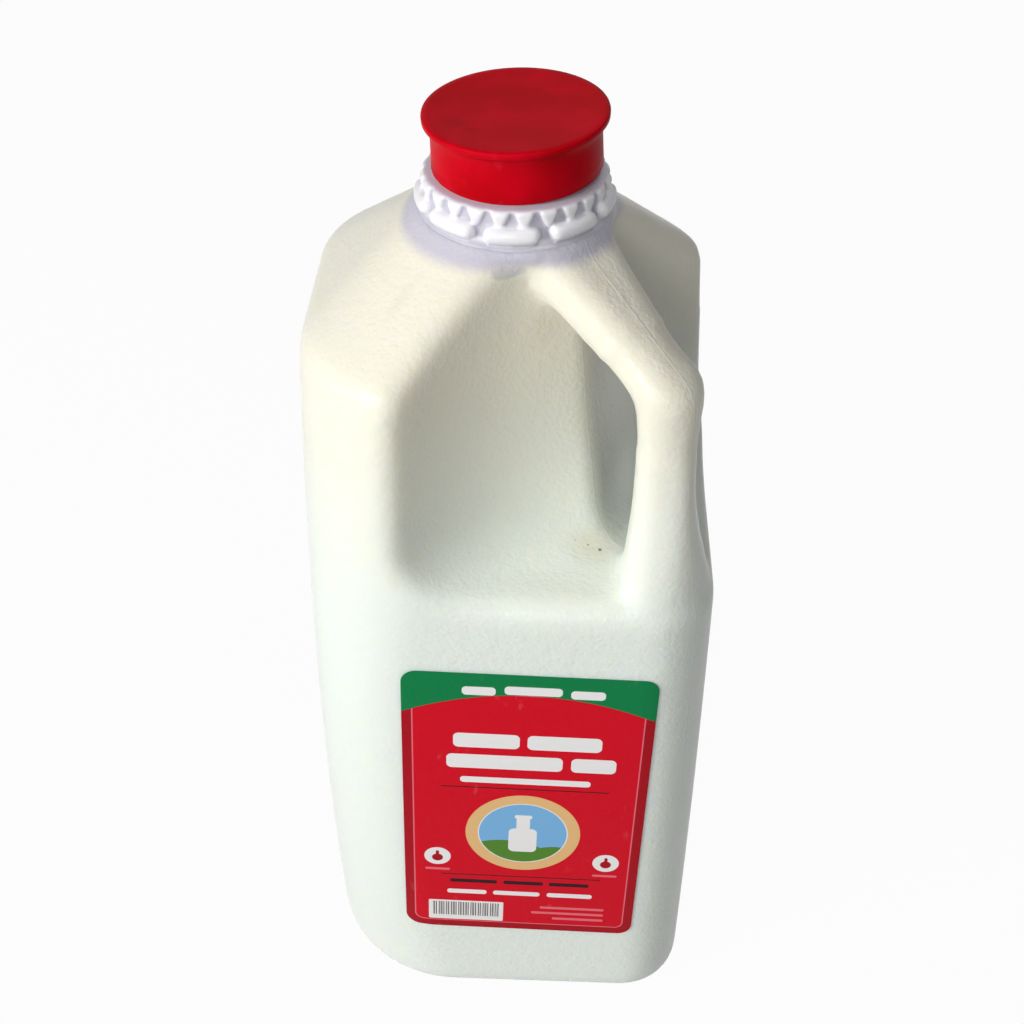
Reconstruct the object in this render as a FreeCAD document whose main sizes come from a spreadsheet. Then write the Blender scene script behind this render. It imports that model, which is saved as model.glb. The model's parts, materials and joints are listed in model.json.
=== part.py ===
# Half-gallon milk jug with a corner handle, its milk, its push-on cap and its front label.
#
# Frame: millimetres, +Z up, origin at the middle of the base. The label faces -Y. The handle is at the
# corner between the front (-Y) and the right side (+X). The mould's parting plane stands on that corner's
# diagonal: "out" is the distance along the diagonal towards the handle, and "across" is the distance
# square to it, which is the way the fingers go through.

import FreeCAD
import Part

import math
import os

import Sketcher

from FreeCAD import Vector

DIMENSIONS = {
    # body
    "base_half": 51.0,
    "waist_half": 51.2,
    "waist_level": 103.0,
    "shoulder_half": 49.7,
    "shoulder_level": 207.5,
    "base_edge": 5.5,
    "shoulder_edge": 9.0,
    "label_corner": 37.0,
    "label_corner_waist": 27.0,
    "handle_corner": 17.0,
    "back_corner": 28.0,
    "wall": 0.55,
    # shoulder and neck
    "collar_half": 23.0,
    "collar_level": 232.2,
    "collar_radius": 23.6,
    "collar_top": 233.4,
    "neck_radius": 20.4,
    "rim_radius": 21.6,
    "rim_level": 240.8,
    "rim_top": 241.8,
    "lip_radius": 17.7,
    "lip_top": 253.0,
    "bore_radius": 16.8,
    "lug_total": 9,
    "lug_level": 235.9,
    "lug_thick": 1.9,
    "lug_circle": 21.3,
    "lug_span": 31.0,
    "tooth_total": 24,
    "tooth_level": 241.0,
    "tooth_drop": 3.6,
    "tooth_radius": 2.0,
    "tooth_circle": 19.9,
    # hollow under the handle
    "hollow_floor": 153.0,
    "hollow_reach": 62.0,
    "hollow_middle": 30.0,
    "hollow_edge": 6.0,
    "parting_foot": 31.0,
    "parting_foot_round": 10.0,
    "parting_crook": 26.5,
    "parting_crook_level": 187.0,
    "parting_top": 16.5,
    "middle_foot": 17.0,
    "middle_foot_round": 15.0,
    "middle_crook": 15.5,
    "middle_crook_level": 193.0,
    "middle_top": 14.0,
    "mouth_foot": 19.0,
    "mouth_foot_round": 14.0,
    "mouth_crook": 18.5,
    "mouth_crook_level": 195.0,
    "mouth_top": 17.5,
    # handle
    "handle_inner": 28.8,
    "handle_outer": 44.9,
    "handle_round": 5.8,
    "handle_foot": 142.0,
    "knuckle_out": 57.2,
    "knuckle_level": 209.5,
    "knuckle_round": 4.0,
    "bridge_run": 45.2,
    "bridge_fall": 27.6,
    "bridge_thick": 12.0,
    "bridge_end": 51.6,
    "bridge_half": 9.0,
    "bridge_root_half": 15.0,
    "elbow_radius": 9.0,
    "elbow_out": 34.5,
    "elbow_side": 11.8,
    # milk
    "milk_level": 229.5,
    # cap
    "cap_base": 242.8,
    "cap_top": 255.8,
    "cap_skirt_radius": 19.5,
    "cap_neck_radius": 19.3,
    "cap_flange_radius": 21.0,
    "cap_flange_thick": 1.7,
    "cap_flare": 2.6,
    "cap_bore": 18.4,
    "cap_deck_under": 254.0,
    "cap_lean_side": 2.2,
    "cap_lean_back": 2.0,
    # label
    "label_width": 64.0,
    "label_height": 101.6,
    "label_thick": 0.25,
    "label_corner_round": 4.0,
    "label_centre": 5.0,
    "label_level": 80.5,
    "label_turn": 1.3,
}

DIAGONAL = math.sqrt(0.5)
QUARTERS = (180, 270, 0, 90)


def make_sheet(doc):
    sheet = doc.addObject("Spreadsheet::Sheet", "dims")
    for row, (name, value) in enumerate(DIMENSIONS.items(), start=1):
        sheet.set("A%d" % row, name)
        sheet.set("B%d" % row, str(value))
        sheet.setAlias("B%d" % row, name)
    doc.recompute()
    return sheet


class Sizes:
    """Reads the driving dimensions from the sheet, so that every shape follows its cells."""

    def __init__(self, sheet):
        self.sheet = sheet

    def __getattr__(self, name):
        return float(self.sheet.get(name))


def closed_wire(corners):
    """Joins corner arcs, each given by three points, with straight edges."""
    edges = []
    for number, arc in enumerate(corners):
        following = corners[(number + 1) % len(corners)]
        edges.append(Part.Arc(*arc).toShape())
        edges.append(Part.LineSegment(arc[2], following[0]).toShape())
    return Part.Wire(edges)


def arc_points(place, middle_u, middle_v, radius, start):
    """Three points of a quarter circle in a plane, where place(u, v) gives the point in space."""
    points = []
    for turn in (0, 45, 90):
        angle = math.radians(start + turn)
        points.append(place(middle_u + radius * math.cos(angle), middle_v + radius * math.sin(angle)))
    return points


def rounded_square(half, radii, level):
    """A level outline. The radii go round from the front left corner, anticlockwise from above."""
    signs = ((-1, -1), (1, -1), (1, 1), (-1, 1))
    corners = []
    for (side_x, side_y), radius, start in zip(signs, radii, QUARTERS):
        reach = half - radius
        place = lambda x, y: Vector(x, y, level)
        corners.append(arc_points(place, side_x * reach, side_y * reach, radius, start))
    return closed_wire(corners)


def diagonal_point(out, across, level):
    return Vector((across + out) * DIAGONAL, (across - out) * DIAGONAL, level)


def flat_edges(shape, level):
    """The edges that lie level at this height."""
    found = []
    for edge in shape.Edges:
        box = edge.BoundBox
        if abs(box.ZMin - level) < 0.2 and abs(box.ZMax - level) < 0.2:
            found.append(edge)
    return found


def body_form(size, inset):
    """The square body and its sloping shoulder, with every wall moved in by inset."""
    top_radii = [size.label_corner, size.handle_corner, size.label_corner, size.back_corner]
    waist_radii = [size.label_corner_waist, size.handle_corner, size.label_corner_waist, size.back_corner]
    top_radii = [radius - inset for radius in top_radii]
    waist_radii = [radius - inset for radius in waist_radii]
    collar = size.collar_half - inset
    base = rounded_square(size.base_half - inset, top_radii, inset)
    waist = rounded_square(size.waist_half - inset, waist_radii, size.waist_level)
    crease = rounded_square(size.shoulder_half - inset, top_radii, size.shoulder_level)
    neck = rounded_square(collar, [collar - 0.3] * 4, size.collar_level)
    walls = Part.makeLoft([base, waist, crease], True, False)
    shoulder = Part.makeLoft([crease, neck], True, True)
    body = walls.fuse(shoulder).removeSplitter()
    body = body.makeFillet(size.base_edge - inset, flat_edges(body, inset))
    return body.makeFillet(size.shoulder_edge - inset, flat_edges(body, size.shoulder_level))


def hollow_outline(size, across, station, grow):
    """Outline of the finger hollow at one distance across: floor, rounded foot, leaning wall."""
    foot, foot_radius, crook, crook_level, top = (
        getattr(size, station + "_" + name) for name in ("foot", "foot_round", "crook", "crook_level", "top")
    )
    floor = size.hollow_floor - grow
    beyond = size.base_half * 2
    above = size.lip_top + 7.0
    centre_out = foot - grow + foot_radius
    centre_level = floor + foot_radius
    arc = []
    for angle in (270, 225, 180):
        turn = math.radians(angle)
        out = centre_out + foot_radius * math.cos(turn)
        arc.append(diagonal_point(out, across, centre_level + foot_radius * math.sin(turn)))
    corners = [
        diagonal_point(crook - grow, across, crook_level),
        diagonal_point(top - grow, across, above),
        diagonal_point(beyond, across, above),
        diagonal_point(beyond, across, floor),
    ]
    edges = [Part.Arc(*arc).toShape()]
    path = [arc[2]] + corners + [arc[0]]
    for start, end in zip(path[:-1], path[1:]):
        edges.append(Part.LineSegment(start, end).toShape())
    return Part.Wire(edges)


def finger_hollow(size, grow):
    """The space cut away between body and handle. It is the same on both sides of the parting plane."""
    halves = []
    for side in (-1, 1):
        outlines = [
            hollow_outline(size, side * size.hollow_reach, "mouth", grow),
            hollow_outline(size, side * size.hollow_middle, "middle", grow),
            hollow_outline(size, 0.0, "parting", grow),
        ]
        halves.append(Part.makeLoft(outlines, True, False))
    return halves


def handle_section(inner, outer, round_over, outer_round, inset, level):
    """A level rounded square on the diagonal, its faces parallel to the body's."""
    middle = (outer + inner) / 2
    half = (outer - inner) / 2 - inset
    place = lambda x, y: Vector(x, y, level)
    corners = []
    for side_x, side_y, start in ((-1, -1, 180), (1, -1, 270), (1, 1, 0), (-1, 1, 90)):
        radius = round_over - inset
        if side_x > 0 and side_y < 0:
            radius = outer_round - inset
        reach = half - radius
        corners.append(arc_points(place, middle + side_x * reach, -middle + side_y * reach, radius, start))
    return closed_wire(corners)


def slope_down(size):
    """Angle of the handle's sloping top, below level."""
    return math.atan2(size.bridge_fall, size.bridge_run)


def handle_post(size, inset):
    """The upright grip. It flares into the body at its foot, and the slope of the bridge cuts its top."""
    foot = size.handle_foot
    outer_foot = size.waist_half - 0.8
    inner_foot = size.handle_inner - 1.5
    head = size.knuckle_level
    stages = [
        (foot, inner_foot, outer_foot, 6.0, size.handle_corner),
        (foot + 14.0, inner_foot + 0.5, outer_foot - 2.2, 6.0, size.handle_corner - 4.0),
        (foot + 28.0, size.handle_inner, size.handle_outer, size.handle_round, size.handle_round + 1.5),
        (head - 15.0, size.handle_inner, size.handle_outer - 1.6, size.handle_round, size.handle_round),
        (head + 15.0, size.handle_inner, size.handle_outer - 2.4, size.handle_round, size.handle_round),
    ]
    sections = []
    for level, inner, outer, round_over, outer_round in stages:
        sections.append(handle_section(inner, outer, round_over, outer_round, inset, level))
    post = Part.makeLoft(sections, True, False)
    above = Part.makeBox(120, 120, 60, Vector(-60, -60, 0))
    above.rotate(Vector(0, 0, 0), Vector(1, 1, 0), math.degrees(slope_down(size)))
    above.translate(diagonal_point(size.knuckle_out, 0.0, size.knuckle_level - inset / math.cos(slope_down(size))))
    post = post.cut(above)
    rim = []
    for edge in post.Edges:
        if edge.BoundBox.ZMin > size.knuckle_level - 10:
            rim.append(edge)
    return post.makeFillet(size.knuckle_round - inset, rim)


def handle_bridge(size, inset):
    """The sloping top of the handle, from the foot of the neck down into the head of the grip."""
    angle = -slope_down(size)
    sideways = Vector(DIAGONAL, DIAGONAL, 0)
    upward = Vector(-math.sin(angle) * DIAGONAL, math.sin(angle) * DIAGONAL, math.cos(angle))
    along = Vector(math.cos(angle) * DIAGONAL, -math.cos(angle) * DIAGONAL, math.sin(angle))
    knuckle = diagonal_point(size.knuckle_out, 0.0, size.knuckle_level)
    length = math.hypot(size.bridge_run, size.bridge_fall)
    half_thick = size.bridge_thick / 2
    round_over = size.handle_round - inset
    stages = ((length, size.bridge_root_half), (length * 0.5, size.bridge_half + 0.8), (-4.0, size.bridge_half))
    sections = []
    for distance, half in stages:
        centre = knuckle - along * distance - upward * half_thick
        place = lambda u, v: centre + sideways * u + upward * v
        corners = []
        for side_u, side_v, start in ((-1, -1, 180), (1, -1, 270), (1, 1, 0), (-1, 1, 90)):
            middle_u = side_u * (half - inset - round_over)
            middle_v = side_v * (half_thick - inset - round_over)
            corners.append(arc_points(place, middle_u, middle_v, round_over, start))
        sections.append(closed_wire(corners))
    beyond = Part.makeBox(60, 60, 120, Vector(0, -30, 140))
    beyond.rotate(Vector(0, 0, 0), Vector(0, 0, 1), -45)
    beyond.translate(diagonal_point(size.bridge_end - inset, 0.0, 0.0))
    return Part.makeLoft(sections, True, False).cut(beyond)


def handle_elbow(size, inset):
    """The rounded corner of the finger hole: the inner part of the grip, turned up under the bridge."""
    slope = slope_down(size)
    under = size.knuckle_level + (size.knuckle_out - size.elbow_out) * math.tan(slope)
    under = under - size.bridge_thick / math.cos(slope)
    level = under - size.elbow_radius / math.cos(slope)
    outer = size.handle_inner + size.elbow_side
    section = handle_section(size.handle_inner, outer, size.handle_round, size.handle_round, inset, level)
    turn = 90.0 - math.degrees(slope)
    sideways = Vector(DIAGONAL, DIAGONAL, 0)
    return Part.Face(section).revolve(diagonal_point(size.elbow_out, 0.0, level), sideways, -turn)


def ridge_edges(form, body, hollows):
    """The edges where the hollow breaks out of the body, and the crest where its two halves meet."""
    surfaces = [body] + hollows
    found = []
    for edge in form.Edges:
        middle = Part.Vertex(edge.valueAt((edge.FirstParameter + edge.LastParameter) / 2))
        touched = 0
        for surface in surfaces:
            shell = surface.Shells[0]
            if middle.distToShape(shell)[0] < 0.02:
                touched += 1
        if touched > 1 and edge.Length > 0.05:
            found.append(edge)
    return found


def bottle_form(size, inset):
    """Body, hollow and handle together: the outside at inset 0, the cavity at the wall's thickness."""
    body = body_form(size, inset)
    hollows = finger_hollow(size, inset)
    form = body
    for half in hollows:
        form = form.cut(half)
    form = form.makeFillet(size.hollow_edge - inset, ridge_edges(form, body, hollows))
    return form.multiFuse([handle_post(size, inset), handle_bridge(size, inset), handle_elbow(size, inset)])


def neck_form(size):
    """Collar, neck, rim and lip, turned about the jug's axis."""
    outline = [
        Vector(0, 0, size.collar_top - 5.0),
        Vector(size.collar_radius - 1.2, 0, size.collar_top - 5.0),
        Vector(size.collar_radius, 0, size.collar_top - 3.2),
        Vector(size.collar_radius - 0.3, 0, size.collar_top - 0.8),
        Vector(size.collar_radius - 1.6, 0, size.collar_top),
        Vector(size.neck_radius, 0, size.collar_top + 0.6),
        Vector(size.neck_radius, 0, size.rim_level - 0.8),
        Vector(size.rim_radius, 0, size.rim_level),
        Vector(size.rim_radius, 0, size.rim_top),
        Vector(size.lip_radius, 0, size.rim_top),
        Vector(size.lip_radius, 0, size.lip_top),
        Vector(0, 0, size.lip_top),
    ]
    wire = Part.makePolygon(outline + [outline[0]])
    return Part.Face(wire).revolve(Vector(0, 0, 0), Vector(0, 0, 1), 360)


def neck_lugs(size):
    """Rounded bars bent round the foot of the neck, with a gap between each two."""
    lugs = []
    for number in range(int(size.lug_total)):
        facing = 270.0 + number * 360.0 / size.lug_total
        centre = Vector(0, 0, size.lug_level)
        bar = Part.makeTorus(size.lug_circle, size.lug_thick, centre, Vector(0, 0, 1), 0, 360, size.lug_span)
        bar.rotate(Vector(0, 0, 0), Vector(0, 0, 1), facing - size.lug_span / 2)
        lugs.append(bar)
        for end in (-0.5, 0.5):
            angle = math.radians(facing + end * size.lug_span)
            place = Vector(size.lug_circle * math.cos(angle), size.lug_circle * math.sin(angle), size.lug_level)
            lugs.append(Part.makeSphere(size.lug_thick, place))
    return lugs


def neck_teeth(size):
    """Blunt teeth that hang under the rim all the way round."""
    teeth = []
    for number in range(int(size.tooth_total)):
        angle = math.radians(270.0 + (number + 0.5) * 360.0 / size.tooth_total)
        across = size.tooth_circle * math.cos(angle)
        along = size.tooth_circle * math.sin(angle)
        foot = Vector(across, along, size.tooth_level - size.tooth_drop)
        teeth.append(Part.makeCone(0.6, size.tooth_radius, size.tooth_drop, foot))
    return teeth


def add_form(doc, label, shape):
    """Keeps a shape as a document object for the booleans that follow."""
    form = doc.addObject("Part::Feature", label)
    form.Label = label
    form.Shape = shape
    form.Placement = FreeCAD.Placement()
    return form


def bind(feature, expressions):
    for name, expression in expressions.items():
        feature.setExpression(name, expression)


def make_jug(doc, size):
    outside = bottle_form(size, 0.0)
    outside = outside.multiFuse([neck_form(size)] + neck_lugs(size) + neck_teeth(size))
    shell = add_form(doc, "outside", outside)
    cavity = add_form(doc, "cavity", bottle_form(size, size.wall))
    bore = doc.addObject("Part::Cylinder", "bore")
    bind(bore, {
        "Radius": "dims.bore_radius",
        "Height": "dims.lip_top - dims.milk_level + 5",
        "Placement.Base.z": "dims.milk_level - 4",
    })
    room = doc.addObject("Part::MultiFuse", "room")
    room.Shapes = [cavity, bore]
    jug = doc.addObject("Part::Cut", "jug")
    jug.Base = shell
    jug.Tool = room
    jug.Label = "jug"
    return jug, room


def make_milk(doc, room):
    fill = doc.addObject("Part::Box", "fill")
    bind(fill, {
        "Length": "dims.base_half * 3",
        "Width": "dims.base_half * 3",
        "Height": "dims.milk_level + 10",
        "Placement.Base.x": "-dims.base_half * 1.5",
        "Placement.Base.y": "-dims.base_half * 1.5",
        "Placement.Base.z": "-10",
    })
    milk = doc.addObject("Part::MultiCommon", "milk")
    milk.Shapes = [room, fill]
    milk.Label = "milk"
    return milk


def origin_plane(body, role):
    for feature in body.Origin.OriginFeatures:
        if feature.Role == role:
            return feature
    raise ValueError("no plane " + role)


def bound_outline(sketch, corners):
    """Draws a closed outline whose corners are tied to the sheet. A corner is (name, across, up)."""
    total = len(corners)
    for number in range(total):
        sketch.addGeometry(Part.LineSegment(Vector(number, number * 2 % 5, 0), Vector(number + 1, 1, 0)), False)
    for number in range(total):
        sketch.addConstraint(Sketcher.Constraint("Coincident", number, 2, (number + 1) % total, 1))
    for number, (name, across, up) in enumerate(corners):
        for kind, value in (("DistanceX", across), ("DistanceY", up)):
            place = sketch.addConstraint(Sketcher.Constraint(kind, -1, 1, number, 1, 1.0))
            sketch.renameConstraint(place, name + kind[-1])
            sketch.setExpression("Constraints." + name + kind[-1], value)


def make_cap(doc, size):
    """A push-on cap: skirt, flared flange and flat deck, turned in one piece. It sits a little askew."""
    body = doc.addObject("PartDesign::Body", "cap")
    body.Label = "cap"
    sketch = body.newObject("Sketcher::SketchObject", "cap_profile")
    sketch.AttachmentSupport = (origin_plane(body, "XZ_Plane"), [""])
    sketch.MapMode = "FlatFace"
    under_flange = "dims.cap_top - dims.cap_flange_thick"
    bound_outline(sketch, [
        ("deck_middle", "0", "dims.cap_top"),
        ("inside_middle", "0", "dims.cap_deck_under"),
        ("inside_corner", "dims.cap_bore", "dims.cap_deck_under"),
        ("inside_foot", "dims.cap_bore", "dims.cap_base"),
        ("skirt_foot", "dims.cap_skirt_radius", "dims.cap_base"),
        ("skirt_waist", "dims.cap_neck_radius", under_flange + " - dims.cap_flare"),
        ("flare", "dims.cap_neck_radius + 0.5", under_flange + " - dims.cap_flare / 3"),
        ("flange_under", "dims.cap_flange_radius", under_flange),
        ("flange_side", "dims.cap_flange_radius", "dims.cap_top - 0.5"),
        ("flange_top", "dims.cap_flange_radius - 0.5", "dims.cap_top"),
    ])
    doc.recompute()
    turned = body.newObject("PartDesign::Revolution", "cap_turned")
    turned.Profile = sketch
    turned.ReferenceAxis = (sketch, ["V_Axis"])
    turned.Angle = 360
    doc.recompute()
    lean_side = FreeCAD.Rotation(Vector(0, 1, 0), -size.cap_lean_side)
    lean_back = FreeCAD.Rotation(Vector(1, 0, 0), size.cap_lean_back)
    seat = Vector(0, 0, size.cap_deck_under)
    body.Placement = FreeCAD.Placement(Vector(0, 0, 0), lean_back.multiply(lean_side), seat)
    return body


def make_label(doc, size):
    """A thin sheet that follows the front of the body, cut to a rounded rectangle."""
    film = body_form(size, -size.label_thick).cut(body_form(size, 0.0))
    skin = add_form(doc, "film", film)
    sheet = doc.addObject("Part::Box", "label_block")
    bind(sheet, {
        "Length": "dims.label_width",
        "Width": "dims.base_half",
        "Height": "dims.label_height",
    })
    turn = math.radians(size.label_turn)
    half_width = size.label_width / 2
    half_height = size.label_height / 2
    corner = Vector(
        size.label_centre - half_width * math.cos(turn) - half_height * math.sin(turn),
        -size.base_half * 1.5,
        size.label_level + half_width * math.sin(turn) - half_height * math.cos(turn),
    )
    sheet.Placement = FreeCAD.Placement(corner, FreeCAD.Rotation(Vector(0, 1, 0), size.label_turn))
    doc.recompute()
    rounded = doc.addObject("Part::Fillet", "label_outline")
    rounded.Base = sheet
    radius = size.label_corner_round
    upright = []
    for number, edge in enumerate(sheet.Shape.Edges, start=1):
        along = edge.tangentAt(edge.FirstParameter)
        if abs(along.y) > 0.99:
            upright.append((number, radius, radius))
    rounded.Edges = upright
    label = doc.addObject("Part::MultiCommon", "label")
    label.Shapes = [rounded, skin]
    label.Label = "label"
    return label


def check_document(doc):
    for item in doc.Objects:
        if "Invalid" in item.State or "Error" in item.State:
            raise RuntimeError(item.Name + " did not compute")


def export(node):
    """Writes one sub-part, once it is known to be one sound solid."""
    shape = node.Shape
    if shape.isNull() or not shape.isValid():
        raise RuntimeError(node.Label + " has no valid shape")
    if len(shape.Solids) != 1:
        raise RuntimeError("%s has %d solids" % (node.Label, len(shape.Solids)))
    solid = shape.Solids[0]
    print("%-6s %10.1f mm3  %s" % (node.Label, solid.Volume, solid.optimalBoundingBox(True, False)))
    solid.exportStep("parts/" + node.Label + ".step")


document = FreeCAD.newDocument("milk_jug")
dims = Sizes(make_sheet(document))
jug_node, cavity_room = make_jug(document, dims)
milk_node = make_milk(document, cavity_room)
cap_node = make_cap(document, dims)
label_node = make_label(document, dims)
document.recompute()
check_document(document)
os.makedirs("parts", exist_ok=True)
for part_node in (jug_node, milk_node, cap_node, label_node):
    export(part_node)
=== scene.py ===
# %% [markdown]
# # A half-gallon jug of milk
# The real thing is blow-moulded from milky polyethylene: a soft tube of plastic is blown out against a
# cold mould, so every edge comes out rounded and the skin takes the mould's fine pebble. It is full of
# whole milk with the cream risen to the top. It has a red push-on cap and a paper label.
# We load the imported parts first, as a fixed frame that everything else is placed by.

# %% Load the frame
import json
import math

import bmesh
import bpy
from mathutils import Matrix, Vector

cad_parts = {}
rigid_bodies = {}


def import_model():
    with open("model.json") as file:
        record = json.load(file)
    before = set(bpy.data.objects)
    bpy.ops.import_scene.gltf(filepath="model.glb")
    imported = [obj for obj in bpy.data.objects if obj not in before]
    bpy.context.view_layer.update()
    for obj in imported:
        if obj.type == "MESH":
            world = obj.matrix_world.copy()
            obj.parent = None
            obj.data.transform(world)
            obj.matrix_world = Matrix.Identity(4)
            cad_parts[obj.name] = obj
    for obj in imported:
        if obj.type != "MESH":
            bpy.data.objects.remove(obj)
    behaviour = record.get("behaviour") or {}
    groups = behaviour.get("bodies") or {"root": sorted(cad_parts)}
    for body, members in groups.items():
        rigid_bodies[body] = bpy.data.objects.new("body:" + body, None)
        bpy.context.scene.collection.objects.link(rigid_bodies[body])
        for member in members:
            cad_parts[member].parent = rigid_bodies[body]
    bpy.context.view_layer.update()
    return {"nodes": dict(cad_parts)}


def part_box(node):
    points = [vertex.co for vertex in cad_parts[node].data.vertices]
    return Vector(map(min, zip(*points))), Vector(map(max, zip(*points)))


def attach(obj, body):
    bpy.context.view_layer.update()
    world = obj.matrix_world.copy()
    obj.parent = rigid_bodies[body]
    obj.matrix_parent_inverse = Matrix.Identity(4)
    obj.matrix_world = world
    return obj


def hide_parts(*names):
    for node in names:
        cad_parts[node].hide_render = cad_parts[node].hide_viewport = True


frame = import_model()

# %% [markdown]
# ## Small helpers
# All sizes below are read more easily in millimetres, so one factor turns them into Blender's metres.
# Every new piece goes through the same door: smooth shading, a parent body and a material slot.

# %% Helpers for pieces
MM = 0.001


def put_in_scene(name, data):
    """Make an object of a mesh, lamp or camera and place it in the scene."""
    made = bpy.data.objects.new(name, data)
    bpy.context.scene.collection.objects.link(made)
    return made


def keep_piece(name, mesh, material):
    """Turn a mesh into a finished piece of the jug."""
    piece = put_in_scene(name, mesh)
    mesh.materials.clear()
    mesh.materials.append(material)
    mesh.shade_smooth()
    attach(piece, "root")
    print(name, len(mesh.polygons), "faces")
    return piece


def mesh_from(shape, name):
    """Close a bmesh and hand back its mesh."""
    mesh = bpy.data.meshes.new(name)
    shape.to_mesh(mesh)
    shape.free()
    return mesh


def with_modifiers(mesh, modifiers):
    """Run modifiers on a mesh and return the result as a new mesh."""
    carrier = put_in_scene("carrier", mesh)
    for kind, settings in modifiers:
        modifier = carrier.modifiers.new(kind.lower(), kind)
        for key, value in settings.items():
            setattr(modifier, key, value)
    graph = bpy.context.evaluated_depsgraph_get()
    result = bpy.data.meshes.new_from_object(carrier.evaluated_get(graph))
    bpy.data.objects.remove(carrier)
    return result


# %% [markdown]
# ## Helpers for shader nodes
# Node trees get long when every link is spelled out. `add_node` makes a node, sets it up and joins its
# inputs in one line: a socket given as an input is linked, and a plain value is typed in.

# %% Helpers for nodes
def add_node(tree, kind, inputs=(), **settings):
    made = tree.nodes.new("ShaderNode" + kind)
    for key, value in settings.items():
        setattr(made, key, value)
    for socket, value in dict(inputs).items():
        if isinstance(value, bpy.types.NodeSocket):
            tree.links.new(value, made.inputs[socket])
        else:
            made.inputs[socket].default_value = value
    return made


def calculate(tree, operation, first, second=0.0, clamp=False):
    return add_node(tree, "Math", {0: first, 1: second}, operation=operation, use_clamp=clamp).outputs[0]


def ramp(tree, value, low, high):
    """0 below low, 1 above high, and an easy curve between them."""
    inputs = {"Value": value, "From Min": low, "From Max": high}
    return add_node(tree, "MapRange", inputs, interpolation_type="SMOOTHSTEP").outputs["Result"]


def blend_colours(tree, mask, below, above):
    """The colour below where the mask is 0, and the one above where it is 1."""
    made = add_node(tree, "Mix", data_type="RGBA")
    for socket, value in ((made.inputs["Factor"], mask), (made.inputs[6], below), (made.inputs[7], above)):
        if isinstance(value, bpy.types.NodeSocket):
            tree.links.new(value, socket)
        elif isinstance(value, tuple):
            socket.default_value = (*value, 1.0)
        else:
            socket.default_value = value
    return made.outputs[2]


def new_group(name, inputs, outputs):
    """An empty node group with named sockets: inputs are (name, type, default), outputs are (name, type)."""
    group = bpy.data.node_groups.new(name, "ShaderNodeTree")
    for label, kind, default in inputs:
        socket = group.interface.new_socket(label, in_out="INPUT", socket_type="NodeSocket" + kind)
        socket.default_value = default
    for label, kind in outputs:
        group.interface.new_socket(label, in_out="OUTPUT", socket_type="NodeSocket" + kind)
    start = group.nodes.new("NodeGroupInput")
    end = group.nodes.new("NodeGroupOutput")
    return group, start.outputs, end.inputs


def place_group(tree, group, inputs):
    made = tree.nodes.new("ShaderNodeGroup")
    made.node_tree = group
    for socket, value in inputs.items():
        if isinstance(value, bpy.types.NodeSocket):
            tree.links.new(value, made.inputs[socket])
        else:
            made.inputs[socket].default_value = value
    return made.outputs


def new_material(name):
    """A material with its Principled shader and the piece's own coordinates, in metres."""
    material = bpy.data.materials.new(name)
    material.use_nodes = True
    tree = material.node_tree
    place = add_node(tree, "TexCoord").outputs["Object"]
    return material, tree, tree.nodes["Principled BSDF"].inputs, place


# %% [markdown]
# ## Effects that several finishes share
# **Pebble** is the fine orange-peel skin of moulded plastic: two sizes of soft noise added together.
# ** Spot** is a soft-edged patch at one place, for stains, smudges and specks, and for painted shade of a dent and of the handle hole.
# **Scuffs** are short faint scratches that all run roughly one way, with a patchy cover.

# %% The pebble group
pebble, given, result = new_group(
    "pebble",
    [("Place", "Vector", (0, 0, 0)), ("Size", "Float", 0.001), ("Unevenness", "Float", 0.5)],
    [("Height", "Float")],
)
tree = pebble
detail_scale = calculate(tree, "DIVIDE", 1.0, given["Size"])
fine = add_node(tree, "TexNoise", {"Vector": given["Place"], "Scale": detail_scale, "Detail": 1.0})
broad_scale = calculate(tree, "MULTIPLY", detail_scale, 0.45)
broad = add_node(tree, "TexNoise", {"Vector": given["Place"], "Scale": broad_scale, "Detail": 0.0})
uneven = calculate(tree, "MULTIPLY", broad.outputs[0], given["Unevenness"])
tree.links.new(calculate(tree, "ADD", fine.outputs[0], uneven), result["Height"])

# %% The spot group
spot, given, result = new_group(
    "spot",
    [
        ("Place", "Vector", (0, 0, 0)),
        ("Centre", "Vector", (0, 0, 0)),
        ("Turn", "Float", 0.0),
        ("Reach", "Vector", (0.01, 0.01, 0.01)),
        ("Softness", "Float", 0.5),
    ],
    [("Mask", "Float")],
)
tree = spot
moved = add_node(tree, "VectorMath", {0: given["Place"], 1: given["Centre"]}, operation="SUBTRACT")
spin = {"Vector": moved.outputs[0], "Angle": given["Turn"]}
turned = add_node(tree, "VectorRotate", spin, rotation_type="Z_AXIS")
scaled = add_node(tree, "VectorMath", {0: turned.outputs[0], 1: given["Reach"]}, operation="DIVIDE")
distance = add_node(tree, "VectorMath", {0: scaled.outputs[0]}, operation="LENGTH").outputs["Value"]
core = calculate(tree, "SUBTRACT", 1.0, given["Softness"])
tree.links.new(calculate(tree, "SUBTRACT", 1.0, ramp(tree, distance, core, 1.0)), result["Mask"])

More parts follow.
